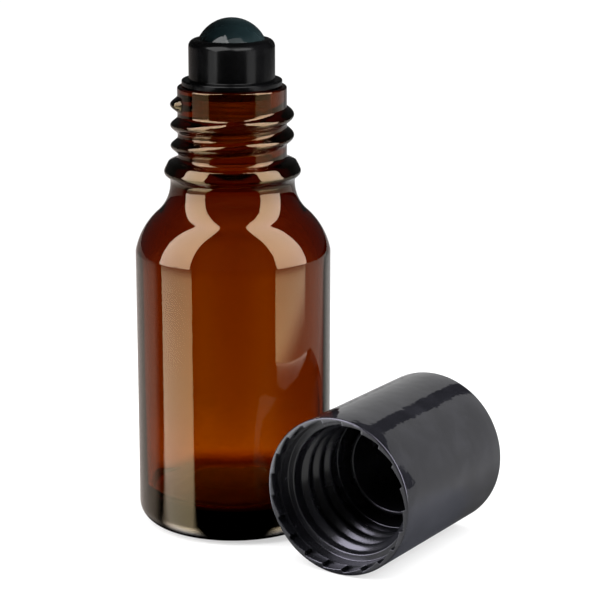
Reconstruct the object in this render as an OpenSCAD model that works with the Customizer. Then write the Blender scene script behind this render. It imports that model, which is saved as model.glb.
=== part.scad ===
// Glass roll-on bottle with a press-in roller fitment and a tall screw cap lying beside it.
// Millimetres. The bottle stands on the origin with its axis up; the cap's axis runs along Y.

/* [Bottle body] */
// Outer diameter of the body
body_d = 28.5; // [26:0.1:32]
// Height from the standing ring to the sealing rim
bottle_h = 65; // [62:0.5:80]
// Thickness of the side wall
wall_t = 2; // [1.4:0.1:2.6]
// Radius of the outer heel
heel_r = 2.7; // [1.5:0.1:4]
// Thickness of the glass between the push-up and the inside floor
floor_t = 4.2; // [2.5:0.1:6]
// Depth of the push-up under the base
pushup_h = 1.3; // [0.5:0.1:2]
// Width of the flat standing ring
ring_w = 1.3; // [0.8:0.1:2]
// Radius of the corner between the inside floor and the wall
floor_r = 4; // [2:0.1:6]

/* [Shoulder] */
// Length of the straight neck between the hollow curve and the bead
neck_l = 0.7; // [0.3:0.1:3]
// Radius of the shoulder's outer curve
shoulder_r = 10.2; // [8:0.1:12]
// Radius of the hollow curve that runs into the neck
throat_r = 6.1; // [4.5:0.1:7.5]
// How far the shoulder curve's centre lies under the crease
crease_drop = 2; // [0:0.1:2.6]
// Radius of the shoulder's inside curve
shoulder_in_r = 8; // [6.5:0.1:9]
// Radius of the inside curve that runs into the bore
throat_in_r = 12; // [9:0.5:14]

/* [Neck finish] */
// Diameter of the neck under the bead
neck_d = 18.1; // [17.5:0.1:19]
// Diameter of the neck core between the threads
core_d = 15.8; // [15:0.1:16.4]
// Diameter over the neck's thread, which the cap's thread bore clears
thread_d = 17.9; // [17.4:0.1:18.2]
// Diameter of the bore through the neck
bore_d = 11.7; // [11:0.1:12.4]
// Diameter of the bead at its widest
bead_d = 19.84; // [19.4:0.02:20.6]
// Height of the bead from its underside to the neck core
bead_h = 2.9; // [2.6:0.1:4.2]
// Distance from the bead's underside to the rim
finish_h = 13.3; // [13:0.1:15]
// Radius of the rounded sealing rim
rim_r = 0.9; // [0.5:0.1:1.1]

/* [Roller fitment] */
// Diameter of the ball
ball_d = 10.6; // [10:0.1:11]
// Gap all round between the ball and its socket
ball_gap = 0.1; // [0.06:0.02:0.2]
// Height of the ball's centre over the flange
ball_lift = 3.5; // [3.3:0.1:4]
// Thickness of the ball cup's wall at the middle of the ball
cup_t = 0.83; // [0.7:0.01:1.1]
// How far the cup's lip reaches over the middle of the ball
lip_h = 2.3; // [1.8:0.1:2.6]
// Rounding of the cup's top edge
cup_edge_r = 1.1; // [0.6:0.1:1.1]
// Diameter of the flange on the rim
flange_d = 14.5; // [14:0.1:15.2]
// Thickness of the flange
flange_t = 1; // [0.8:0.1:1.3]
// Length of the plug below the flange
plug_l = 8.6; // [7.5:0.1:9.5]
// Wall of the plug
plug_t = 1.2; // [0.9:0.1:1.4]
// Play between the plug's sealing ribs and the bore
plug_gap = 0.02; // [0.02:0.01:0.05]
// Number of sealing ribs on the plug
rib_n = 3; // [2:1:4]
// Height of each sealing rib over the plug
rib_h = 0.2; // [0.1:0.05:0.3]
// Diameter of the feed hole under the ball
feed_d = 5.2; // [4:0.1:6]
// Number of feed channels across the seat
channel_n = 4; // [3:1:6]
// Width of a feed channel
channel_w = 1.1; // [0.8:0.1:1.4]

/* [Screw cap] */
// Play between the bead and the recess in the cap's mouth
bead_play = 0.53; // [0.15:0.01:0.6]
// Play between the neck's thread and the cap's thread bore
thread_play = 0.45; // [0.2:0.05:0.6]
// Play between the neck core and the cap's thread crest
core_play = 0.6; // [0.3:0.05:0.8]
// Room between the ball and the closed end when the cap is screwed home
head_room = 2.2; // [0.5:0.1:6]
// Rounding of the closed end's edge
cap_edge_r = 0.8; // [0.4:0.1:1.5]
// Thickness of the closed end
cap_top_t = 1.5; // [1.2:0.1:2]
// Thickness of the skirt at the mouth
skirt_t = 0.95; // [0.8:0.05:1.1]
// Depth of the smooth recess that goes over the bead
skirt_l = 3.6; // [3.4:0.1:4]
// Wall of the inside ring that seals on the flange
seal_t = 0.6; // [0.4:0.05:0.7]

/* [Retaining teeth] */
// Number of ramp teeth round the inside of the mouth
tooth_n = 21; // [16:1:26]
// Depth of the teeth from the mouth
tooth_l = 1.7; // [1.2:0.1:2.2]
// Height of a tooth, cut outwards into the skirt
tooth_h = 0.5; // [0.3:0.05:0.6]

/* [Layout] */
// Gap between the bottle's wall and the cap lying beside it
cap_gap = 0.6; // [0.4:0.1:20]
// Distance of the cap's mouth in front of the bottle's axis
cap_front = 13.3; // [0:0.1:30]

/* [Hidden] */
// Overrun of every cut past the face it opens
cut = 0.5;
// Points on a rounded corner of a profile
arc_n = 8;
// Points on a long curve of a profile
curve_n = 14;
// Glass bottle: radii and levels worked out from the sizes above
body_r = body_d / 2;
body_in_r = body_r - wall_t;
neck_r = neck_d / 2;
core_r = core_d / 2;
bore_r = bore_d / 2;
bead_r = bead_d / 2;
ring_out_r = body_r - heel_r;
ring_in_r = ring_out_r - ring_w;
floor_z = pushup_h + floor_t;
bead_z = bottle_h - finish_h;
core_z = bead_z + bead_h;
// Outer shoulder: the throat curve ends under the neck and meets the convex curve tangentially, and
// that one ends on the faint crease at the body
shoulder_x = body_r - sqrt(pow(shoulder_r, 2) - pow(crease_drop, 2));
throat_x = neck_r + throat_r;
throat_z = bead_z - neck_l;
shoulder_z = throat_z - sqrt(pow(shoulder_r + throat_r, 2) - pow(throat_x - shoulder_x, 2));
shoulder_turn = atan2(throat_z - shoulder_z, throat_x - shoulder_x);
// Inner shoulder: the same two curves, drawn inside the glass
shoulder_in_x = body_in_r - shoulder_in_r;
throat_in_x = bore_r + throat_in_r;
throat_in_z = shoulder_z
    + sqrt(pow(shoulder_in_r + throat_in_r, 2) - pow(throat_in_x - shoulder_in_x, 2));
shoulder_in_turn = atan2(throat_in_z - shoulder_z, throat_in_x - shoulder_in_x);
// Outline of the bead over the neck, as shares of its stand-out and of its height
bead_outline_shares = [
    [0.15, 0], [0.73, 0.14], [0.94, 0.22], [1, 0.3], [0.98, 0.38],
    [0.57, 0.64], [0.3, 0.78], [-0.11, 0.89]
];
// Roller housing
flange_r = flange_d / 2;
socket_r = ball_d / 2 + ball_gap;
cup_r = socket_r + cup_t;
plug_out_r = bore_r - plug_gap - rib_h;
plug_in_r = plug_out_r - plug_t;
flange_z = bottle_h + flange_t;
ball_z = flange_z + ball_lift;
cup_z = ball_z + lip_h;
plug_z = bottle_h - plug_l;
feed_r = feed_d / 2;
seat_z = ball_z - sqrt(pow(socket_r, 2) - pow(feed_r, 2));
web_t = plug_t;
lead_l = plug_t;
lead_taper = plug_t / 2;
rib_w = plug_t / 2;
rib_pitch = (plug_l - lead_l - rib_w) / rib_n;
channel_r = (feed_r + socket_r) / 2;
// Screw cap, drawn with its mouth down and its axis up, then laid on its side
skirt_r = bead_r + bead_play;
cap_r = skirt_r + skirt_t;
cap_bore_r = thread_d / 2 + thread_play;
deep_bore_r = core_r + core_play;
seal_r = (cup_r + flange_r + seal_t) / 2;
// Levels in the cap, measured from its mouth, as it sits when screwed home
mouth_z = core_z - skirt_l;
seal_depth = flange_z - mouth_z;
thread_depth = bottle_h - mouth_z;
cap_in_z = ball_z + ball_d / 2 + head_room - mouth_z;
cap_l = cap_in_z + cap_top_t;
draft_share = 0.98;
mouth_edge = skirt_t / 4;
cap_x = body_r + cap_gap + cap_r;

// Points along an arc, from one angle to another, both included
function arc(x, z, r, from, to, n) =
    [for (i = [0 : n]) let (a = from + (to - from) * i / n) [x + r * cos(a), z + r * sin(a)]];

// Points of the dome from the axis out to a radius, with its sagitta
function dome(z, h, r, n) =
    let (big = (r * r + h * h) / (2 * h), half = asin(r / big))
    [for (i = [0 : n]) let (a = half * i / n) [big * sin(a), z - big * (1 - cos(a))]];

// Outer wall of the bottle from the push-up to the sealing rim
function bottle_outside() = concat(
    dome(pushup_h, pushup_h, ring_in_r, curve_n),
    arc(ring_out_r, heel_r, heel_r, -90, 0, arc_n),
    arc(shoulder_x, shoulder_z, shoulder_r, asin(crease_drop / shoulder_r), shoulder_turn, curve_n),
    arc(throat_x, throat_z, throat_r, shoulder_turn + 180, 180, curve_n),
    [for (p = bead_outline_shares) [neck_r + (bead_r - neck_r) * p[0], bead_z + bead_h * p[1]]],
    arc(core_r + (bead_h / 4), core_z + bead_h / 8, bead_h / 4, -110, -180, arc_n),
    arc(core_r - rim_r, bottle_h - rim_r, rim_r, 0, 90, arc_n)
);

// Inner wall from the sealing rim down to the middle of the floor
function bottle_inside() = concat(
    arc(bore_r + rim_r / 2, bottle_h - rim_r / 2, rim_r / 2, 90, 180, arc_n),
    arc(throat_in_x, throat_in_z, throat_in_r, 180, shoulder_in_turn + 180, curve_n),
    arc(shoulder_in_x, shoulder_z, shoulder_in_r, shoulder_in_turn, 0, curve_n),
    arc(body_in_r - floor_r, floor_z + floor_r, floor_r, 0, -90, arc_n),
    [[0, floor_z]]
);

// Blown amber glass: body, shoulder, neck, transfer bead and sealing rim
module glass_bottle() {
    color("saddlebrown")
        rotate_extrude($fn = 96)
            polygon(concat(bottle_outside(), bottle_inside()));
}

// One sealing rib round the plug, as a low ring
module sealing_rib(z) {
    translate([0, 0, z])
        rotate_extrude($fn = 96)
            polygon([
                [plug_in_r + plug_t / 2, 0], [plug_out_r, 0],
                [plug_out_r + rib_h, rib_w / 2], [plug_out_r, rib_w],
                [plug_in_r + plug_t / 2, rib_w]
            ]);
}

// Outside of the housing: plug with its lead-in, flange and rounded ball cup
module housing_skin() {
    rotate_extrude($fn = 96)
        polygon(concat(
            [[0, plug_z], [plug_out_r - lead_taper, plug_z], [plug_out_r, plug_z + lead_l],
             [plug_out_r, bottle_h], [flange_r - flange_t / 4, bottle_h],
             [flange_r, bottle_h + flange_t / 4]],
            arc(flange_r - flange_t / 4, flange_z - flange_t / 4, flange_t / 4, 0, 90, arc_n),
            [[cup_r, flange_z]],
            arc(cup_r - cup_edge_r, cup_z - cup_edge_r, cup_edge_r, 0, 90, arc_n),
            [[0, cup_z]]
        ));
}

// Everything that is hollow in the housing: ball socket, lip, feed hole, channels and plug bore
module housing_hollow() {
    translate([0, 0, ball_z])
        sphere(r = socket_r, $fn = 96);
    translate([0, 0, plug_z - cut])
        cylinder(r = feed_r, h = ball_z - plug_z, $fn = 64);
    translate([0, 0, plug_z - cut])
        cylinder(r = plug_in_r, h = seat_z - web_t - plug_z + cut, $fn = 96);
    for (i = [0 : channel_n - 1])
        rotate([0, 0, 360 / channel_n * i])
            translate([0, -channel_w / 2, seat_z - web_t / 2])
                cube([channel_r, channel_w, ball_z - seat_z]);
}

// Black moulded fitment that holds the ball and plugs the neck
module roller_housing() {
    color("#141416") {
        difference() {
            union() {
                housing_skin();
                for (i = [0 : rib_n - 1])
                    sealing_rib(plug_z + lead_l + rib_pitch * i);
            }
            housing_hollow();
        }
    }
}

// Polished ball, free to roll in its socket
module roller_ball() {
    color("#26343a")
        translate([0, 0, ball_z])
            sphere(d = ball_d, $fn = 96);
}

// Ramp-toothed outline inside the mouth, each tooth rising slowly and dropping at a step
module tooth_outline() {
    pitch = 360 / tooth_n;
    polygon([
        for (i = [0 : tooth_n - 1], s = [0, 0.5, 1])
            let (a = pitch * (i + s), r = skirt_r + tooth_h * s)
                [r * cos(a), r * sin(a)]
    ]);
}

// Outside of the cap, standing on its mouth
module cap_skin() {
    rotate_extrude($fn = 96)
        polygon(concat(
            [[0, 0], [cap_r - mouth_edge, 0], [cap_r, mouth_edge]],
            arc(cap_r - cap_edge_r, cap_l - cap_edge_r, cap_edge_r, 0, 90, arc_n),
            [[0, cap_l]]
        ));
}

// Stepped hollow of the cap: recess over the bead, thread bore and narrow bore with draft
module cap_hollow() {
    translate([0, 0, -cut])
        cylinder(r = skirt_r, h = skirt_l + cut, $fn = 96);
    translate([0, 0, -cut])
        cylinder(r = cap_bore_r, h = thread_depth + cut, $fn = 96);
    translate([0, 0, thread_depth - cut])
        cylinder(r1 = deep_bore_r, r2 = deep_bore_r * draft_share, h = cap_in_z - thread_depth + cut,
            $fn = 96);
    translate([0, 0, -cut])
        linear_extrude(height = tooth_l + cut)
            tooth_outline();
}

// Thin ring that presses on the flange of the fitment when the cap is screwed home
module seal_ring() {
    translate([0, 0, seal_depth])
        difference() {
            cylinder(r = seal_r, h = cap_in_z - seal_depth + cut, $fn = 96);
            translate([0, 0, -cut])
                cylinder(r = seal_r - seal_t, h = cap_in_z - seal_depth + cut, $fn = 96);
        }
}

// Tall black cap, taken off and lying with its mouth to the front
module screw_cap() {
    color("#1b1b1d")
        translate([cap_x, -cap_front, cap_r])
            rotate([-90, 0, 0]) {
                difference() {
                    cap_skin();
                    cap_hollow();
                }
                seal_ring();
            }
}

glass_bottle();
roller_housing();
roller_ball();
screw_cap();
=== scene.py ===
import math

import bmesh
import bpy
from mathutils import Matrix, Vector


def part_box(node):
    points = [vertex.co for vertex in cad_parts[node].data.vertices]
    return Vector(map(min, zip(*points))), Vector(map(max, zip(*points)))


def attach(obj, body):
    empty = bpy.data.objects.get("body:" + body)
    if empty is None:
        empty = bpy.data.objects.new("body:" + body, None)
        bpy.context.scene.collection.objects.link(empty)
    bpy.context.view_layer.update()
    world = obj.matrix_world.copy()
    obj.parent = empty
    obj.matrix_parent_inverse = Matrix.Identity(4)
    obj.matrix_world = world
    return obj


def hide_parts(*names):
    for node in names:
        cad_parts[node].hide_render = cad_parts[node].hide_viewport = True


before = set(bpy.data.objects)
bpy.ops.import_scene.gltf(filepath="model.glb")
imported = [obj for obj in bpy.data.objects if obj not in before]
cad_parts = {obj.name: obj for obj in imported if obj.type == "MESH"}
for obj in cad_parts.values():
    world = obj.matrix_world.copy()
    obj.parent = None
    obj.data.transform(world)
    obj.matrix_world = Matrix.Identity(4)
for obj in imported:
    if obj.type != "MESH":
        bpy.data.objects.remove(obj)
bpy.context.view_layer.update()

# Glass bottle: amber soda-lime glass, blown in a mould, so its wall is a little uneven and its skin has a
# faint ripple. The 18 mm screw finish and its transfer bead are pressed with the neck, and the foot stands
# on a knurled ring round a shallow push-up, with a low dome inside.
MM = 0.001
tiny = 1e-6
body_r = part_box("glass_bottle")[1].x / MM
rim_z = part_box("glass_bottle")[1].z / MM
heel_r = 2.7
ring_w = 1.3
pushup_h = 1.3
floor_z = 4.3
floor_corner_r = 2.2
floor_dome_h = 1.0
neck_l = 0.7
crease_drop = 2.0
crease_soft = 0.1
shoulder_r = 10.2
throat_r = 6.1
neck_r = 9.05
core_r = 7.9
bore_r = 5.85
bead_r = 9.92
bead_h = 2.9
bead_z = rim_z - 13.3
rim_r = 0.3
wall_at_floor = 1.8
wall_at_shoulder = 2.1
shoulder_in_r = 8.0
throat_in_r = 12.0
foot_start_deg = -110
bottle_columns = 288
wall_step = 2.0
bead_outline_shares = [
    (0, -0.03), (0.15, 0), (0.73, 0.14), (0.94, 0.22), (1, 0.3), (0.98, 0.38), (0.57, 0.64), (0.3, 0.78),
]
thread_h = 1.05
thread_w = 2.4
thread_pitch = 3.0
thread_z = 56.35
thread_start_deg = -145.5
thread_turns = (-0.22, 2.075)
thread_run_out = 0.035
thread_step = 0.16
on_thread_wall = 0.05
crest_power = 0.7
knurl_h = 0.25
knurl_n = 84
knurl_edge = 0.8
knurl_levels = (0.3, 0.6)
lobe_h = 0.28
lobe_n = 8
lobe_start_deg = -55.5
lobe_fade_low = 6
lobe_fade_high = 5
lobe_past_crease = 2
inside_margin = 0.2
ripple_share = 0.35
peel_share = 0.05


def arc(x, z, r, start, end, steps=12):
    """Points of an arc, from one angle to another in degrees, as (radius, height) pairs."""
    turns = [math.radians(start + (end - start) * i / steps) for i in range(steps + 1)]
    return [(x + r * math.cos(a), z + r * math.sin(a)) for a in turns]


def filled(points, step):
    """The same outline with points put in, so that neighbours lie no further apart than step."""
    dense = [points[0]]
    for (r0, z0), (r1, z1) in zip(points, points[1:]):
        parts = max(1, math.ceil(math.hypot(r1 - r0, z1 - z0) / step))
        dense += [(r0 + (r1 - r0) * i / parts, z0 + (z1 - z0) * i / parts) for i in range(1, parts + 1)]
    return dense


def eased(points, parts):
    """A smooth curve through the points of an outline."""
    padded = [points[0], *points, points[-1]]
    curve = [points[0]]
    for a, b, c, d in zip(padded, padded[1:], padded[2:], padded[3:]):
        for i in range(1, parts + 1):
            t = i / parts
            curve.append(tuple(
                b[k] + 0.5 * t * (c[k] - a[k] + t * (2 * a[k] - 5 * b[k] + 4 * c[k] - d[k]
                + t * (3 * (b[k] - c[k]) + d[k] - a[k]))) for k in (0, 1)))
    return curve


def turned(name, outline, columns, sharp_deg=40):
    """A closed piece turned about the Z axis from an outline of (radius, height) pairs in mm."""
    shape = bmesh.new()
    rings = []
    for r, z in outline:
        if r < tiny:
            rings.append([shape.verts.new((0, 0, z * MM))])
        else:
            turns = [2 * math.pi * i / columns for i in range(columns)]
            places = [(r * math.cos(a) * MM, r * math.sin(a) * MM, z * MM) for a in turns]
            rings.append([shape.verts.new(place) for place in places])
    if len(rings[0]) > 1:
        rings.append(rings[0])
    for low, high in zip(rings, rings[1:]):
        for i in range(columns):
            j = i + 1
            corners = [low[i % len(low)], low[j % len(low)], high[j % len(high)], high[i % len(high)]]
            shape.faces.new(list(dict.fromkeys(corners)))
    bmesh.ops.recalc_face_normals(shape, faces=shape.faces)
    mesh = bpy.data.meshes.new(name)
    shape.to_mesh(mesh)
    shape.free()
    piece = bpy.data.objects.new(name, mesh)
    bpy.context.scene.collection.objects.link(piece)
    shade(piece, sharp_deg)
    return piece


def shade(piece, sharp_deg):
    """Smooth shading, with the edges that turn by more than an angle left sharp."""
    piece.data.polygons.foreach_set("use_smooth", [True] * len(piece.data.polygons))
    piece.data.set_sharp_from_angle(angle=math.radians(sharp_deg))


class Wire:
    """An output of a node. Sums and products written with it add the Math nodes that work them out."""

    def __init__(self, tree, node=None, output=0):
        self.tree = tree
        self.node = node
        self.output = output

    def __getitem__(self, output):
        return Wire(self.tree, self.node, output)

    def add(self, kind, settings=None, sockets=None):
        """A new node of that kind, with its settings made first, then its sockets' values and links."""
        node = self.tree.nodes.new(kind)
        for name, value in (settings or {}).items():
            setattr(node, name, value)
        for name, value in (sockets or {}).items():
            if isinstance(value, Wire):
                self.tree.links.new(value.node.outputs[value.output], node.inputs[name])
            else:
                node.inputs[name].default_value = value
        return Wire(self.tree, node)

    def math(self, operation, *values):
        return self.add("ShaderNodeMath", {"operation": operation}, dict(enumerate((self, *values))))

    def __add__(self, other):
        return self.math("ADD", other)

    def __mul__(self, other):
        return self.math("MULTIPLY", other)

    def __sub__(self, other):
        return self.math("SUBTRACT", other)

    def __truediv__(self, other):
        return self.math("DIVIDE", other)

    def __rsub__(self, other):
        return self.add("ShaderNodeMath", {"operation": "SUBTRACT"}, {0: other, 1: self})

    __radd__ = __add__
    __rmul__ = __mul__

    def eased(self, low, high, start=0.0, end=1.0):
        """Goes smoothly from start to end as this value goes from low to high."""
        return self.add("ShaderNodeMapRange", {"interpolation_type": "SMOOTHSTEP"},
                        {0: self, 1: low, 2: high, 3: start, 4: end})

    def colours(self, low, high):
        """Goes from one colour to another as this value goes from 0 to 1."""
        return self.add("ShaderNodeMix", {"data_type": "RGBA"}, {0: self, 6: (*low, 1), 7: (*high, 1)})[2]


def new_material(name):
    """A material with an empty tree, and the wire that adds to it."""
    material = bpy.data.materials.new(name)
    material.use_nodes = True
    material.node_tree.nodes.clear()
    return material, Wire(material.node_tree)


def new_tree(name, sizes):
    """A Geometry Nodes tree with named sizes and a material to take in, and the wire of its inputs."""
    tree = bpy.data.node_groups.new(name, "GeometryNodeTree")
    tree.interface.new_socket("Geometry", in_out="INPUT", socket_type="NodeSocketGeometry")
    for label in sizes:
        tree.interface.new_socket(label, in_out="INPUT", socket_type="NodeSocketFloat")
    tree.interface.new_socket("Material", in_out="INPUT", socket_type="NodeSocketMaterial")
    tree.interface.new_socket("Geometry", in_out="OUTPUT", socket_type="NodeSocketGeometry")
    return tree, Wire(tree).add("NodeGroupInput")


def close_tree(given, shape):
    """Ends a tree with its instances made real and its material set."""
    real = given.add("GeometryNodeRealizeInstances", {}, {0: shape})
    done = given.add("GeometryNodeSetMaterial", {}, {"Geometry": real, "Material": given["Material"]})
    given.add("NodeGroupOutput", {}, {0: done})


def worked(piece, tree, material, sizes, sharp_deg=40):
    """Runs a tree on a piece with those sizes, and keeps the result as the piece's plain mesh."""
    modifier = piece.modifiers.new(tree.name, "NODES")
    modifier.node_group = tree
    for socket in tree.interface.items_tree:
        if socket.in_out == "INPUT" and socket.name in sizes:
            modifier[socket.identifier] = float(sizes[socket.name])
        elif socket.in_out == "INPUT" and socket.name == "Material":
            modifier[socket.identifier] = material
    ready = piece.evaluated_get(bpy.context.evaluated_depsgraph_get())
    mesh = bpy.data.meshes.new_from_object(ready)
    piece.modifiers.remove(modifier)
    piece.data = mesh
    shade(piece, sharp_deg)


def thread_tree():
    """A ridge that climbs round a turned wall: it moves only the points that lie at the wall's own radius."""
    tree, given = new_tree("raised_thread", [
        "Wall radius", "Ridge height", "Ridge width", "Pitch", "First level", "Start angle", "Start turn",
        "End turn", "Run-out"])
    place = given.add("GeometryNodeInputPosition")
    axes = given.add("ShaderNodeSeparateXYZ", {}, {0: place})
    radius = (axes["X"] * axes["X"] + axes["Y"] * axes["Y"]).math("SQRT")
    on_wall = (radius - given["Wall radius"]).math("ABSOLUTE").math("LESS_THAN", on_thread_wall * MM)
    turn = axes["Y"].math("ARCTAN2", axes["X"]) / (2 * math.pi) - given["Start angle"] / 360.0
    level = (axes["Z"] - given["First level"]) / given["Pitch"]
    climbed = turn + (level - turn).math("ROUND")
    off_crest = ((level - climbed) * given["Pitch"]).math("ABSOLUTE") * 2.0 / given["Ridge width"]
    bump = ((off_crest.math("MINIMUM", 1.0) * math.pi).math("COSINE") + 1.0) / 2.0
    runs_in = climbed.eased(given["Start turn"], given["Start turn"] + given["Run-out"])
    runs_out = climbed.eased(given["End turn"] - given["Run-out"], given["End turn"], 1.0, 0.0)
    lift = bump.math("POWER", crest_power) * runs_in * runs_out * on_wall * given["Ridge height"] / radius
    offset = given.add("ShaderNodeCombineXYZ", {}, {0: axes["X"] * lift, 1: axes["Y"] * lift})
    close_tree(given, given.add("GeometryNodeSetPosition", {}, {"Geometry": given, "Offset": offset}))
    return tree


def knurl_tree():
    """Fine notches across a standing ring, cut upwards so that the ring still stands on its lands."""
    tree, given = new_tree("knurled_ring", [
        "Inner radius", "Outer radius", "Soft edge", "Full up to", "Gone from", "Depth", "Notches"])
    axes = given.add("ShaderNodeSeparateXYZ", {}, {0: given.add("GeometryNodeInputPosition")})
    radius = (axes["X"] * axes["X"] + axes["Y"] * axes["Y"]).math("SQRT")
    inside = radius.eased(given["Inner radius"] - given["Soft edge"], given["Inner radius"])
    outside = radius.eased(given["Outer radius"], given["Outer radius"] + given["Soft edge"], 1.0, 0.0)
    low = axes["Z"].eased(given["Full up to"], given["Gone from"], 1.0, 0.0)
    wave = ((axes["Y"].math("ARCTAN2", axes["X"]) * given["Notches"]).math("COSINE") + 1.0) / 2.0
    lift = wave * inside * outside * low * given["Depth"]
    offset = given.add("ShaderNodeCombineXYZ", {}, {2: lift})
    close_tree(given, given.add("GeometryNodeSetPosition", {}, {"Geometry": given, "Offset": offset}))
    return tree


def lobed_wall_tree():
    """The inside of a blown wall: it keeps its height, and is a little thinner in lobes round the axis."""
    tree, given = new_tree("lobed_wall", [
        "Largest radius", "Lowest", "Highest", "Rise", "Fall", "Depth", "Lobes", "Start angle"])
    axes = given.add("ShaderNodeSeparateXYZ", {}, {0: given.add("GeometryNodeInputPosition")})
    radius = (axes["X"] * axes["X"] + axes["Y"] * axes["Y"]).math("SQRT")
    inner = radius.math("LESS_THAN", given["Largest radius"])
    above = axes["Z"].eased(given["Lowest"], given["Lowest"] + given["Rise"])
    below = axes["Z"].eased(given["Highest"] - given["Fall"], given["Highest"], 1.0, 0.0)
    turn = axes["Y"].math("ARCTAN2", axes["X"]) - given["Start angle"] * math.radians(1)
    lobe = (1.0 - (turn * given["Lobes"]).math("COSINE")) / 2.0
    lift = lobe * inner * above * below * given["Depth"] / radius.math("MAXIMUM", MM)
    offset = given.add("ShaderNodeCombineXYZ", {}, {0: axes["X"] * lift, 1: axes["Y"] * lift})
    close_tree(given, given.add("GeometryNodeSetPosition", {}, {"Geometry": given, "Offset": offset}))
    return tree


def amber_glass():
    """Amber glass: clear, with a ripple and faint smears on its skin, and its colour in its thickness."""
    material, glass = new_material("amber_glass")
    place = glass.add("ShaderNodeTexCoord")["Object"]
    ripple = glass.add("ShaderNodeTexNoise", {}, {"Vector": place, "Scale": 170.0, "Detail": 1.0})
    swell = glass.add("ShaderNodeTexNoise", {}, {"Vector": place, "Scale": 45.0, "Detail": 0.0})
    peel = glass.add("ShaderNodeTexNoise", {}, {"Vector": place, "Scale": 1500.0, "Detail": 1.0})
    height = ripple * ripple_share + swell + peel * peel_share
    skin = glass.add("ShaderNodeBump", {}, {"Strength": 0.45, "Distance": 0.06 * MM, "Height": height})
    smear = glass.add("ShaderNodeTexNoise", {}, {"Vector": place, "Scale": 90.0, "Detail": 5.0})
    surface = glass.add("ShaderNodeBsdfPrincipled", {}, {
        "Base Color": smear.eased(0.35, 0.7).colours((1.0, 1.0, 1.0), (0.95, 0.93, 0.9)),
        "Roughness": smear.eased(0.45, 0.8, 0.0, 0.03),
        "Specular Tint": (1.0, 0.74, 0.34, 1), "IOR": 1.52, "Transmission Weight": 1.0, "Normal": skin})
    volume = glass.add("ShaderNodeVolumeAbsorption", {}, {"Color": (0.84, 0.67, 0.0, 1), "Density": 3000.0})
    glass.add("ShaderNodeOutputMaterial", {}, {"Surface": surface, "Volume": volume})
    return material


ring_out_r = body_r - heel_r
ring_in_r = ring_out_r - ring_w
core_z = bead_z + bead_h
shoulder_x = body_r - math.sqrt(shoulder_r ** 2 - crease_drop ** 2)
throat_x = neck_r + throat_r
throat_z = bead_z - neck_l
shoulder_z = throat_z - math.sqrt((shoulder_r + throat_r) ** 2 - (throat_x - shoulder_x) ** 2)
shoulder_turn = math.degrees(math.atan2(throat_z - shoulder_z, throat_x - shoulder_x))
crease_z = shoulder_z + crease_drop
shoulder_in_x = body_r - wall_at_shoulder - shoulder_in_r
throat_in_x = bore_r + throat_in_r
throat_in_z = shoulder_z + math.sqrt((shoulder_in_r + throat_in_r) ** 2 - (throat_in_x - shoulder_in_x) ** 2)
shoulder_in_turn = math.degrees(math.atan2(throat_in_z - shoulder_z, throat_in_x - shoulder_in_x))
pushup_r = (ring_in_r ** 2 + pushup_h ** 2) / (2 * pushup_h)
pushup_turn = math.degrees(math.asin(ring_in_r / pushup_r))
floor_flat_r = body_r - wall_at_floor - floor_corner_r
dome_r = (floor_flat_r ** 2 + floor_dome_h ** 2) / (2 * floor_dome_h)
dome_turn = math.degrees(math.asin(floor_flat_r / dome_r))
foot_r = bead_h / 4
bead_curve = [(neck_r + (bead_r - neck_r) * s, bead_z + bead_h * t) for s, t in bead_outline_shares]
foot = arc(core_r + foot_r, core_z + foot_r / 2, foot_r, foot_start_deg, -180)
rim_curve = arc(core_r - rim_r, rim_z - rim_r, rim_r, 0, 90)
rim_curve += arc(bore_r + rim_r / 2, rim_z - rim_r / 2, rim_r / 2, 90, 180)
shoulder_start = math.degrees(math.asin((crease_drop + crease_soft) / shoulder_r))
bottle_outline = [
    *[(max(r, 0), z) for r, z in arc(0, pushup_h - pushup_r, pushup_r, 90, 90 - pushup_turn, 16)],
    *arc(ring_out_r, heel_r, heel_r, -90, 0, 20),
    *filled([(body_r, heel_r), (body_r, crease_z - crease_soft)], wall_step)[1:],
    *arc(shoulder_x, shoulder_z, shoulder_r, shoulder_start, shoulder_turn, 24),
    *arc(throat_x, throat_z, throat_r, shoulder_turn + 180, 180, 20)[1:],
    *eased(bead_curve, 3),
    *filled([foot[0], *foot, rim_curve[0]], thread_step)[1:],
    *rim_curve[1:],
    *arc(throat_in_x, throat_in_z, throat_in_r, 180, shoulder_in_turn + 180, 24),
    *arc(shoulder_in_x, shoulder_z, shoulder_in_r, shoulder_in_turn, 0, 24)[1:],
    *arc(floor_flat_r, floor_z + floor_corner_r, floor_corner_r, 0, -90, 12),
    *[(max(r, 0), z) for r, z in arc(0, floor_z + floor_dome_h - dome_r, dome_r, 90 - dome_turn, 90, 16)[1:]],
]
glass = turned("glass_bottle_walls", bottle_outline, bottle_columns)
glass_finish = amber_glass()
raised_thread = thread_tree()
worked(glass, raised_thread, glass_finish, {
    "Wall radius": core_r * MM, "Ridge height": thread_h * MM, "Ridge width": thread_w * MM,
    "Pitch": thread_pitch * MM, "First level": thread_z * MM, "Start angle": thread_start_deg,
    "Start turn": thread_turns[0], "End turn": thread_turns[1], "Run-out": thread_run_out}, sharp_deg=180)
worked(glass, knurl_tree(), glass_finish, {
    "Inner radius": ring_in_r * MM, "Outer radius": ring_out_r * MM, "Soft edge": knurl_edge * MM,
    "Full up to": knurl_levels[0] * MM, "Gone from": knurl_levels[1] * MM, "Depth": knurl_h * MM,
    "Notches": knurl_n}, sharp_deg=180)
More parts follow.
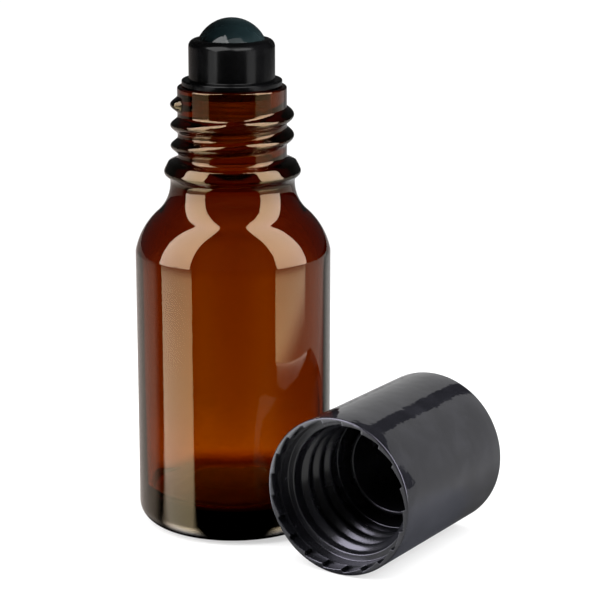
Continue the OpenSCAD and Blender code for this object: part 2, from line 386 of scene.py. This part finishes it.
worked(glass, lobed_wall_tree(), glass_finish, {
    "Largest radius": (body_r - wall_at_floor + inside_margin) * MM, "Lowest": (floor_z - inside_margin) * MM,
    "Highest": (crease_z + lobe_past_crease) * MM, "Rise": lobe_fade_low * MM, "Fall": lobe_fade_high * MM,
    "Depth": lobe_h * MM, "Lobes": lobe_n, "Start angle": lobe_start_deg}, sharp_deg=180)
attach(glass, "bottle")
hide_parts("glass_bottle")

# Roller housing: one black moulding with a flange on the rim, a ball cup whose lip holds the ball in, and a
# seat with a feed hole. Below the flange it is a sleeve with sealing ribs, pushed into the bore, and light
# passes through that part as in the photo.
flange_r = 7.25
flange_t = 1.0
cup_r = 6.23
cup_edge_r = 1.1
cup_z = 71.8
ball_z = 69.5
socket_r = 5.4
feed_r = 2.6
web_z = 63.57
plug_z = 56.4
plug_out_r = 5.63
plug_in_r = 4.43
plug_lead = 0.6
rib_h = 0.2
rib_w = 0.6
rib_levels = [57.6, 59.87, 62.13]
cup_columns = 192
sleeve_columns = 128
flange_z = rim_z + flange_t


def rounded(corners, steps=5):
    """An outline with rounded corners, from (radius, height, rounding) for each corner, closed on itself."""
    points = []
    for before, (x, z, r), after in zip(corners[-1:] + corners[:-1], corners, corners[1:] + corners[:1]):
        if r == 0:
            points.append((x, z))
            continue
        here = Vector((x, z))
        to_before = (Vector(before[:2]) - here).normalized()
        to_after = (Vector(after[:2]) - here).normalized()
        half = to_before.angle(to_after) / 2
        reach = r / math.tan(half)
        middle = here + (to_before + to_after).normalized() * r / math.sin(half)
        first = here + to_before * reach - middle
        last = here + to_after * reach - middle
        points += [tuple(middle + first.slerp(last, i / steps) * r) for i in range(steps + 1)]
    return points


def black_plastic(name, colour, dust_colour, roughness, wave_scale, wave_depth, gloss):
    """Moulded plastic: near-black, with a slow wave left by the mould and faint finger marks in its gloss."""
    material, plastic = new_material(name)
    place = plastic.add("ShaderNodeTexCoord")["Object"]
    wave = plastic.add("ShaderNodeTexNoise", {}, {"Vector": place, "Scale": wave_scale, "Detail": 1.5})
    marks = plastic.add("ShaderNodeTexNoise", {}, {"Vector": place, "Scale": 260.0, "Detail": 6.0})
    skin = plastic.add("ShaderNodeBump", {}, {"Strength": 0.5, "Distance": wave_depth * MM, "Height": wave})
    surface = plastic.add("ShaderNodeBsdfPrincipled", {}, {
        "Base Color": marks.eased(0.4, 0.75).colours(colour, dust_colour),
        "Roughness": marks.eased(0.3, 0.75, roughness[0], roughness[1]),
        "IOR": 1.49, "Specular IOR Level": gloss, "Normal": skin})
    plastic.add("ShaderNodeOutputMaterial", {}, {"Surface": surface})
    return material


def smoky_plastic():
    """Thin plastic that lets light through, a little cloudy."""
    material, plastic = new_material("smoky_sleeve")
    place = plastic.add("ShaderNodeTexCoord")["Object"]
    cloud = plastic.add("ShaderNodeTexNoise", {}, {"Vector": place, "Scale": 400.0, "Detail": 3.0})
    surface = plastic.add("ShaderNodeBsdfPrincipled", {}, {
        "Base Color": cloud.eased(0.3, 0.7).colours((0.85, 0.83, 0.79), (0.72, 0.7, 0.66)),
        "Roughness": cloud.eased(0.3, 0.7, 0.1, 0.2), "IOR": 1.45, "Transmission Weight": 1.0})
    plastic.add("ShaderNodeOutputMaterial", {}, {"Surface": surface})
    return material


lip = math.degrees(math.asin((cup_z - ball_z) / socket_r))
seat = math.degrees(math.acos(feed_r / socket_r))
cup_corners = rounded([
    (feed_r, web_z, 0), (plug_out_r, web_z, 0.15), (plug_out_r, rim_z, 0), (flange_r, rim_z, 0.25),
    (flange_r, flange_z, 0.25), (cup_r, flange_z, 0.15), (cup_r, cup_z, cup_edge_r),
    (socket_r * math.cos(math.radians(lip)), cup_z, 0)], 8)
cup = turned("ball_cup", cup_corners + arc(0, ball_z, socket_r, lip, -seat, 24)[1:], cup_columns)
cup.data.materials.append(black_plastic(
    "housing_plastic", colour=(0.002, 0.002, 0.0022), dust_colour=(0.004, 0.004, 0.0045),
    roughness=(0.15, 0.22), wave_scale=160.0, wave_depth=0.05, gloss=0.14))
sleeve_corners = [(plug_in_r, web_z, 0), (plug_in_r, plug_z, 0.2), (plug_out_r - plug_lead, plug_z, 0.2)]
for level in rib_levels:
    rib_crest = (plug_out_r + rib_h, level + rib_w / 2, 0.1)
    sleeve_corners += [(plug_out_r, level, 0), rib_crest, (plug_out_r, level + rib_w, 0)]
sleeve = turned("neck_sleeve", rounded([*sleeve_corners, (plug_out_r, web_z, 0)]), sleeve_columns)
sleeve.data.materials.append(smoky_plastic())
for part in (cup, sleeve):
    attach(part, "bottle")
    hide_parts("roller_housing")

# Ball: a loose, polished ball of dark slate-coloured plastic. It is snapped past the lip, and it rolls the
# liquid out.
ball_r = (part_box("roller_ball")[1].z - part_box("roller_ball")[0].z) / 2 / MM
ball_rings = 96
ball_columns = 128


def slate_ball():
    """Polished dark plastic, with soft clouds of a paler slate in it."""
    material, slate = new_material("slate_ball")
    place = slate.add("ShaderNodeTexCoord")["Object"]
    cloud = slate.add("ShaderNodeTexNoise", {}, {
        "Vector": place, "Scale": 180.0, "Detail": 3.0, "Roughness": 0.4})
    surface = slate.add("ShaderNodeBsdfPrincipled", {}, {
        "Base Color": cloud.eased(0.3, 0.7).colours((0.008, 0.016, 0.018), (0.024, 0.038, 0.041)),
        "Roughness": cloud.eased(0.3, 0.7, 0.06, 0.14), "IOR": 1.52, "Specular IOR Level": 0.25})
    slate.add("ShaderNodeOutputMaterial", {}, {"Surface": surface})
    return material


ball_outline = arc(0, ball_z, ball_r, -90, 90, ball_rings)
ball_outline[0] = (0, ball_z - ball_r)
ball_outline[-1] = (0, ball_z + ball_r)
ball = turned("ball", ball_outline, ball_columns, 180)
ball.data.materials.append(slate_ball())
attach(ball, "ball")
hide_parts("roller_ball")

# Screw cap: one tall black moulding, taken off and lying on its side. Its mouth has a smooth recess for the
# bead with ramp teeth cut into its edge, then the inside thread, a narrower bore and the ring that seals on
# the flange.
cap_low, cap_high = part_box("screw_cap")
cap_r = (cap_high.x - cap_low.x) / 2 / MM
cap_l = (cap_high.y - cap_low.y) / MM
cap_edge_r = 0.8
cap_top_t = 1.5
skirt_r = 10.45
skirt_l = 3.6
mouth_edge = 0.24
tooth_n = 21
tooth_l = 1.7
tooth_h = 0.5
tooth_step = 0.02
on_tooth_wall = 0.2
cap_bore_r = 9.4
cap_crest_r = 8.5
thread_depth = 14.0
deep_bore_r = 8.5
deep_end_r = 8.33
seal_out_r = 7.04
seal_in_r = 6.44
seal_depth = 15.0
cap_thread_w = 2.0
cap_first_ridge = 4.9
cap_thread_turns = (0, 2.9)
cap_run_out = 0.07
cap_thread_step = 0.13
plain_step = 3.0
columns_per_tooth = 16
inside_r = 10.9


def teeth_tree():
    """Ramp teeth round the inside of a mouth: each pocket deepens slowly and ends at a step."""
    tree, given = new_tree("ramp_teeth", [
        "Wall radius", "Tooth height", "Tooth length", "Teeth", "Half a column"])
    axes = given.add("ShaderNodeSeparateXYZ", {}, {0: given.add("GeometryNodeInputPosition")})
    radius = (axes["X"] * axes["X"] + axes["Y"] * axes["Y"]).math("SQRT")
    on_wall = (radius - given["Wall radius"]).math("ABSOLUTE").math("LESS_THAN", on_tooth_wall * MM)
    in_pocket = axes["Z"].math("LESS_THAN", given["Tooth length"])
    turn = axes["Y"].math("ARCTAN2", axes["X"]) / (2 * math.pi) * given["Teeth"]
    ramp = (turn + given["Half a column"]).math("FRACT")
    lift = ramp * on_wall * in_pocket * given["Tooth height"] / radius
    offset = given.add("ShaderNodeCombineXYZ", {}, {0: axes["X"] * lift, 1: axes["Y"] * lift})
    close_tree(given, given.add("GeometryNodeSetPosition", {}, {"Geometry": given, "Offset": offset}))
    return tree


cap_in_z = cap_l - cap_top_t
cap_corners = [
    (0, cap_l, 0), (cap_r, cap_l, cap_edge_r), (cap_r, 0, mouth_edge), (skirt_r, 0, 0.12),
    (skirt_r, tooth_l - tooth_step, 0), (skirt_r, tooth_l, 0), (skirt_r, skirt_l, 0.15),
    (cap_bore_r, skirt_l, 0.2), (cap_bore_r, thread_depth, 0), (deep_bore_r, thread_depth, 0.2),
    (deep_end_r, cap_in_z, 0.4), (seal_out_r, cap_in_z, 0.2), (seal_out_r, seal_depth, 0.2),
    (seal_in_r, seal_depth, 0.2), (seal_in_r, cap_in_z, 0.2), (0, cap_in_z, 0)]
cap_outline = []
for start, end in zip(rounded(cap_corners), rounded(cap_corners)[1:]):
    on_bore = abs(start[0] - cap_bore_r) < tiny and abs(end[0] - cap_bore_r) < tiny
    cap_outline += filled([start, end], cap_thread_step if on_bore else plain_step)[:-1]
cap = turned("cap", [*cap_outline, (0, cap_in_z)], tooth_n * columns_per_tooth)
cap_colours = {"colour": (0.007, 0.007, 0.009), "dust_colour": (0.012, 0.012, 0.015), "gloss": 0.5}
cap_finish = black_plastic(
    "cap_plastic", roughness=(0.03, 0.08), wave_scale=700.0, wave_depth=0.075, **cap_colours)
worked(cap, raised_thread, cap_finish, {
    "Wall radius": cap_bore_r * MM, "Ridge height": (cap_crest_r - cap_bore_r) * MM,
    "Ridge width": cap_thread_w * MM, "Pitch": thread_pitch * MM, "First level": cap_first_ridge * MM,
    "Start angle": 0, "Start turn": cap_thread_turns[0], "End turn": cap_thread_turns[1],
    "Run-out": cap_run_out})
worked(cap, teeth_tree(), cap_finish, {
    "Wall radius": skirt_r * MM, "Tooth height": tooth_h * MM, "Teeth": tooth_n,
    "Tooth length": (tooth_l - tooth_step / 2) * MM, "Half a column": 0.5 / columns_per_tooth})
cap.data.materials.append(black_plastic(
    "cap_inside_plastic", roughness=(0.2, 0.3), wave_scale=560.0, wave_depth=0.07, **cap_colours))
for face in cap.data.polygons:
    inside = face.center.xy.length < inside_r * MM and face.center.z < (cap_in_z + inside_margin) * MM
    face.material_index = int(inside or face.center.z < mouth_edge * MM)
cap_mouth = ((cap_low.x + cap_high.x) / 2, cap_low.y, cap_r * MM)
cap.data.transform(Matrix.Translation(cap_mouth) @ Matrix.Rotation(-math.pi / 2, 4, "X"))
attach(cap, "cap")
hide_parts("screw_cap")

# Studio: a pale table in a dark room with a white backdrop. Two tall softboxes light all but the cup and the
# ball, which have lamps of their own, and two low ones behind light only the cap. For gloss the table glows
# with painted light and shade: two bright wedges, a glint line at the bottle's foot, a contact shadow round
# it, and darker ground behind it and by the cap. A row such as table_near holds two distances in metres and
# the strength at each.
camera_turn = 34.5
camera_place = (0.1812, -0.2637, 0.1148)
camera_target = (0.0081, 0.0055, 0.0331)
camera_lens = 134.4
softbox_distance = 0.6
softbox_middle_z = 0.03
softbox_columns = 8
softbox_glow = (-0.15, 0.4, 6.5, 9.5)
softbox_gloss_tint = (1.0, 0.96, 1.2)
softbox_outline = [
    (-4, 51, 94), (25, 51, 94), (42, 50, 95), (54, 48, 98), (62, 46, 99), (70, 47, 97), (76, 53, 95),
    (81, 64, 91)]
white = (1.0, 1.0, 1.0)
table_half = 3
table_drop = 0.05
table_white = 1.05
# The rows from here to table_near_tint_end shape the light and shade painted on the table for gloss.
wedge_inner = (0.839, 8.0, 1.5)
wedge_outer = (-0.055, 10.5, 2.0)
side_blend = (-0.01, 0.01)
# Painted contact shadow round the bottle's foot.
table_painted_contact_shadow = (0.0132, 0.0155)
# Painted glint line at the bottle's foot.
table_near = (0.0156, 0.0185, 5.0, 0.0)
# Painted light of the two wedges, falling off with distance.
table_far = [(0.05, 0.34, 4.9, 1.6), (0.19, 0.28, 1.0, 0.5), (0.3, 0.9, 1.0, 0.2), (0.02, 0.06, 0.62, 1.0)]
table_back = (0.08, 0.4, 0.62, 0.3)
table_left_gap = (-0.36, -0.12, 1.0, 0.0)
table_right_gap = (-1.4, -0.5, 1.0, 0.0)
table_past_bottle = (0.02, 0.045)
# Painted shade beside the cap, darker towards its foot.
table_beside_cap = (0.028, 0.058, 0.05, 0.65)
# Painted shade near the cap, where the painted wedge light fades out.
table_by_cap = (0.09, 0.13, 1.0, 0.0)
by_cap_lean = 0.5
table_near_tint = (0.96, 1.0, 1.15)
table_near_tint_end = (0.03, 0.09)
table_left_tint = (1.06, 0.95, 0.9)
table_whiter = (0.05, 0.2, 0.5, 1.0)
table_through = (0.008, 0.06, 0.1, 0.95)
sky_white = (0.3, 0.7, 1.0, 0.08)
sky_dark = (0.9, -0.2, 0.02, 0.04)
cap_lamps = [(0.286, 0.44, 0.63), (-0.259, 0.33, 0.6)]
cap_lamp_y = 0.6
cap_lamp_h = 0.48
cap_table_place = (0.02, -0.05, 0.0005)
cap_table_size = (0.14, 0.07)
cap_table_radiance = 0.9
fitment_lamps = [
    (-42, 32, 0.5, 0.48, 0.48, 45, 7.0, "diffuse"), (31, 26, 0.5, 0.45, 0.28, 0, 6.0, "diffuse"),
    (18, 40, 0.55, 0.62, 0.36, 0, 2.0, "diffuse"), (-52, -4, 0.3, 0.13, 0.07, 0, 2.4, "diffuse"),
    (52, -4, 0.3, 0.13, 0.07, 0, 2.4, "diffuse"), (75, 35, 0.5, 0.4, 0.4, 0, 9.0, "gloss")]
right_hand = (math.cos(math.radians(camera_turn)), math.sin(math.radians(camera_turn)))
towards_camera = (right_hand[1], -right_hand[0])


def pale_table():
    """A white table. Eyes see it white with a soft shadow. Gloss sees light and shade painted on it as a
    glow: what two wedges in front of the bottle are lit with, a painted glint line at its foot, a painted
    contact shadow round the foot, and dimmer painted ground behind it and beside the cap."""
    material, table = new_material("pale_table")
    rays = table.add("ShaderNodeLightPath")
    axes = table.add("ShaderNodeSeparateXYZ", {}, {0: table.add("ShaderNodeTexCoord")["Object"]})
    across = axes["X"] * right_hand[0] + axes["Y"] * right_hand[1]
    towards = axes["X"] * towards_camera[0] + axes["Y"] * towards_camera[1]
    aside = across.math("ABSOLUTE")
    away = (across * across + towards * towards).math("SQRT")
    slope, level, soft = wedge_inner
    inner = (towards - aside * slope).eased((level - soft) * MM, (level + soft) * MM, 1.0, 0.0)
    slope, level, soft = wedge_outer
    outer = (towards - aside * slope).eased((level - soft) * MM, (level + soft) * MM)
    far = math.prod(away.eased(*row) for row in table_far)
    # Painted shade: the ground beside the cap is painted darker towards the cap's foot.
    beside_cap = axes["X"].eased(*table_beside_cap)
    turned_back = (towards - wedge_outer[1] * MM) / aside.math("MAXIMUM", MM)
    left_back = away.eased(*table_back) * turned_back.eased(*table_left_gap)
    right_back = away.eased(*table_back) * turned_back.eased(*table_right_gap)
    past_bottle = (axes["Y"] - axes["X"]).eased(*table_past_bottle)
    right_side = beside_cap.math("MAXIMUM", past_bottle * right_back)
    behind = across.eased(*side_blend, left_back, right_side) * axes["Y"].math("LESS_THAN", cap_lamp_y)
    # Painted shade near the cap: the bright painted light fades out there.
    by_cap = across.math("GREATER_THAN", 0.0) * (away - axes["Y"] * by_cap_lean).eased(*table_by_cap)
    # Painted light: the lit wedges, plus a painted glint line at the bottle's foot.
    best_lit = far * (1.0 - by_cap) + beside_cap * by_cap + away.eased(*table_near)
    # Painted contact shadow round the bottle's foot, and painted dimmer ground behind and beside.
    seen = inner * away.eased(*table_painted_contact_shadow) * (outer * best_lit + (1.0 - outer) * behind)
    grain = table.add("ShaderNodeTexNoise", {}, {"Scale": 30.0})
    paint = table.add("ShaderNodeBsdfDiffuse", {}, {
        "Color": grain.eased(0.3, 0.7).colours((0.88, 0.88, 0.88), (0.9, 0.9, 0.9))})
    glow = table.add("ShaderNodeEmission", {}, {"Strength": table_white})
    near_tint = away.eased(*table_near_tint_end).colours(table_near_tint, white)
    far_tint = across.eased(*side_blend).colours(table_left_tint, white)
    tint = table.add("ShaderNodeMix", {"data_type": "RGBA"}, {0: outer, 6: far_tint, 7: near_tint})[2]
    lit = table.add("ShaderNodeVectorMath", {"operation": "SCALE"}, {0: tint, "Scale": seen})
    # A glow that paints this light and shade on the table, seen by gloss rays only.
    painted_gloss_light = table.add("ShaderNodeEmission", {}, {"Color": lit})
    whiter = away.eased(*table_whiter) * rays["Is Camera Ray"]
    through = away.eased(*table_through) * rays["Is Transmission Ray"]
    plain = table.add("ShaderNodeMixShader", {}, {0: whiter.math("MAXIMUM", through), 1: paint, 2: glow})
    reflected = rays["Is Glossy Ray"] * (1.0 - rays["Is Transmission Ray"])
    surface = table.add("ShaderNodeMixShader", {}, {0: reflected, 1: plain, 2: painted_gloss_light})
    table.add("ShaderNodeOutputMaterial", {}, {"Surface": surface})
    material.cycles.emission_sampling = "NONE"
    return material


def softbox_cloth():
    """Lit white cloth, brighter towards the top of its softbox, and bluish where gloss shows it."""
    material, cloth = new_material("softbox_cloth")
    height = cloth.add("ShaderNodeSeparateXYZ", {}, {0: cloth.add("ShaderNodeTexCoord")["Object"]})["Z"]
    tint = cloth.add("ShaderNodeLightPath")["Is Glossy Ray"].colours(white, softbox_gloss_tint)
    glow = cloth.add("ShaderNodeEmission", {}, {"Color": tint, "Strength": height.eased(*softbox_glow)})
    cloth.add("ShaderNodeOutputMaterial", {}, {"Surface": glow})
    return material


floor_mesh = bpy.data.meshes.new("floor")
floor_corners = [(-1, -1), (1, -1), (1, 1), (-1, 1)]
floor_places = [(x * table_half, y * table_half, -table_drop * MM) for x, y in floor_corners]
floor_mesh.from_pydata(floor_places, [], [(0, 1, 2, 3)])
floor = bpy.data.objects.new("floor", floor_mesh)
floor.data.materials.append(pale_table())
bpy.context.scene.collection.objects.link(floor)

cloth_finish = softbox_cloth()
dark_for_softboxes = bpy.data.collections.new("not_lit_by_softboxes")
for number, part in enumerate((cup, ball)):
    dark_for_softboxes.objects.link(part)
    dark_for_softboxes.collection_objects[number].light_linking.link_state = "EXCLUDE"
row = softbox_columns + 1
quads = [(row * j + i, row * j + i + 1, row * j + i + row + 1, row * j + i + row)
         for j in range(len(softbox_outline) - 1) for i in range(softbox_columns)]
for side, label in ((-1, "left"), (1, "right")):
    places = []
    for elevation, near_turn, far_turn in softbox_outline:
        flat = softbox_distance * math.cos(math.radians(elevation))
        level = softbox_distance * math.sin(math.radians(elevation)) + softbox_middle_z
        for i in range(row):
            aside = near_turn + (far_turn - near_turn) * i / softbox_columns
            turn = math.radians(camera_turn + side * aside)
            places.append((flat * math.sin(turn), -flat * math.cos(turn), level))
    cloth_mesh = bpy.data.meshes.new(f"softbox_{label}")
    cloth_mesh.from_pydata(places, [], quads)
    cloth_mesh.materials.append(cloth_finish)
    softbox = bpy.data.objects.new(f"softbox_{label}", cloth_mesh)
    softbox.visible_camera = False
    softbox.visible_transmission = False
    softbox.light_linking.receiver_collection = dark_for_softboxes
    bpy.context.scene.collection.objects.link(softbox)

world = bpy.data.worlds.new("studio")
world.use_nodes = True
world.node_tree.nodes.clear()
sky = Wire(world.node_tree)
rays = sky.add("ShaderNodeLightPath")
axes = sky.add("ShaderNodeSeparateXYZ", {}, {0: sky.add("ShaderNodeTexCoord")["Generated"]})
through = rays["Is Transmission Ray"] * axes["Z"].eased(*sky_white)
sees_white = rays["Is Camera Ray"].math("MAXIMUM", through)
strength = axes["Z"].eased(*sky_dark) * (1.0 - sees_white) + sees_white
background = sky.add("ShaderNodeBackground", {}, {"Color": (1, 1, 1, 1), "Strength": strength})
sky.add("ShaderNodeOutputWorld", {}, {"Surface": background})
bpy.context.scene.world = world


def own_lamp(name, receivers, width, height, radiance, place, hidden_from=""):
    """A flat lamp that lights only one collection, turned as its place says, and hidden from the camera."""
    panel = bpy.data.lights.new(name, "AREA")
    panel.shape = "RECTANGLE"
    panel.size = width
    panel.size_y = height
    panel.energy = radiance * math.pi * width * height
    lamp = bpy.data.objects.new(name, panel)
    lamp.matrix_world = place
    lamp.visible_camera = False
    lamp.visible_transmission = False
    lamp.visible_diffuse = hidden_from != "diffuse"
    lamp.visible_glossy = hidden_from != "gloss"
    lamp.light_linking.receiver_collection = receivers
    bpy.context.scene.collection.objects.link(lamp)


only_cap = bpy.data.collections.new("lit_by_cap_softboxes")
only_cap.objects.link(cap)
for number, (lamp_x, lamp_w, radiance) in enumerate(cap_lamps):
    place = Matrix.Translation((lamp_x, cap_lamp_y, cap_lamp_h / 2)) @ Matrix.Rotation(-math.pi / 2, 4, "X")
    own_lamp(f"cap_softbox_{number}", only_cap, lamp_w, cap_lamp_h, radiance, place)
place = Matrix.Translation(cap_table_place) @ Matrix.Rotation(math.pi, 4, "X")
own_lamp("cap_table", only_cap, *cap_table_size, cap_table_radiance, place, "diffuse")
only_fitment = bpy.data.collections.new("lit_by_fitment_lamps")
only_fitment.objects.link(cup)
only_fitment.objects.link(ball)
for number, (side, up, distance, width, height, roll, radiance, hidden_from) in enumerate(fitment_lamps):
    turn = math.radians(camera_turn + side)
    rise = math.radians(up)
    away_from = Vector((math.cos(rise) * math.sin(turn), -math.cos(rise) * math.cos(turn), math.sin(rise)))
    faced = away_from.to_track_quat("Z", "Y").to_matrix().to_4x4()
    rolled = faced @ Matrix.Rotation(math.radians(roll), 4, "Z")
    place = Matrix.Translation(away_from * distance + Vector((0, 0, ball_z * MM))) @ rolled
    own_lamp(f"fitment_lamp_{number}", only_fitment, width, height, radiance, place, hidden_from)

camera = bpy.data.objects.new("camera", bpy.data.cameras.new("camera"))
camera.data.lens = camera_lens
camera.location = camera_place
camera.rotation_euler = (Vector(camera_target) - Vector(camera_place)).to_track_quat("-Z", "Y").to_euler()
bpy.context.scene.collection.objects.link(camera)
bpy.context.scene.camera = camera
bpy.context.scene.view_settings.view_transform = "Standard"
